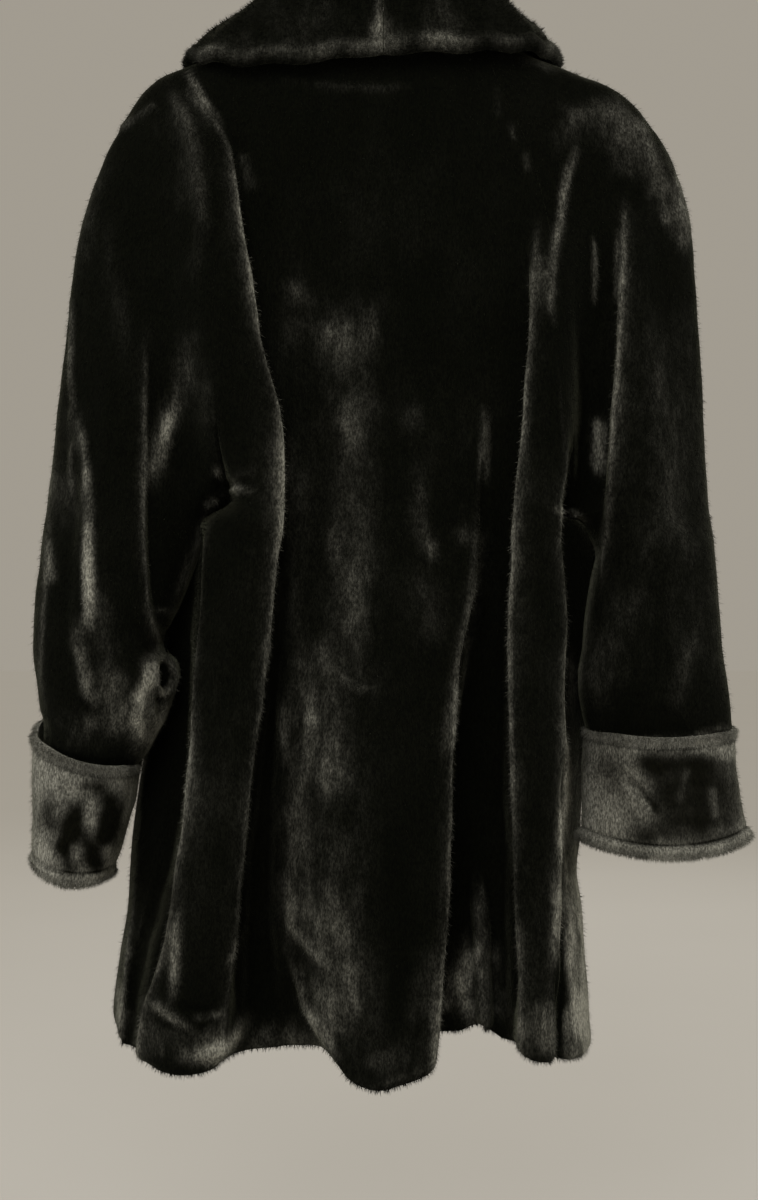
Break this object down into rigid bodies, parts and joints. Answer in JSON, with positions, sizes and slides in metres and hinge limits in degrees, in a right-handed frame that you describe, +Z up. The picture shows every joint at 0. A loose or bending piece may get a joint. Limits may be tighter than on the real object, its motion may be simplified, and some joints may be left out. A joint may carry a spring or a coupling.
{
  "type": "shawl collar coat on a hanger",
  "caption": "Thigh-length swing coat of short black pile with a wide shawl collar, raglan sleeves and turned-back cuffs, hanging on a plain hanger.",
  "frame": {"origin": "inside top of the hanger's hook, where a rail or wall hook holds it", "axes": "+Z up, +X towards the wearer's left, +Y towards the back of the coat, so that the front faces -Y"},
  "size_m": [0.6078, 0.168, 1.0316],
  "materials": {
    "black_pile": "short dense black pile, sheen at grazing angles",
    "cuff_pile": "the same pile brushed against its nap, so greyer",
    "black_plastic": "satin moulded plastic",
    "steel_wire": "bright drawn wire"
  },
  "bodies": {
    "root": {"back": "black_pile", "front_left": "black_pile", "front_right": "black_pile", "sleeve_left": "black_pile", "sleeve_right": "black_pile", "collar_left": "black_pile", "collar_right": "black_pile", "cuff_left": "cuff_pile", "cuff_right": "cuff_pile", "hanger_bar": "black_plastic", "hanger_hook": "steel_wire"}
  },
  "joints": []
}
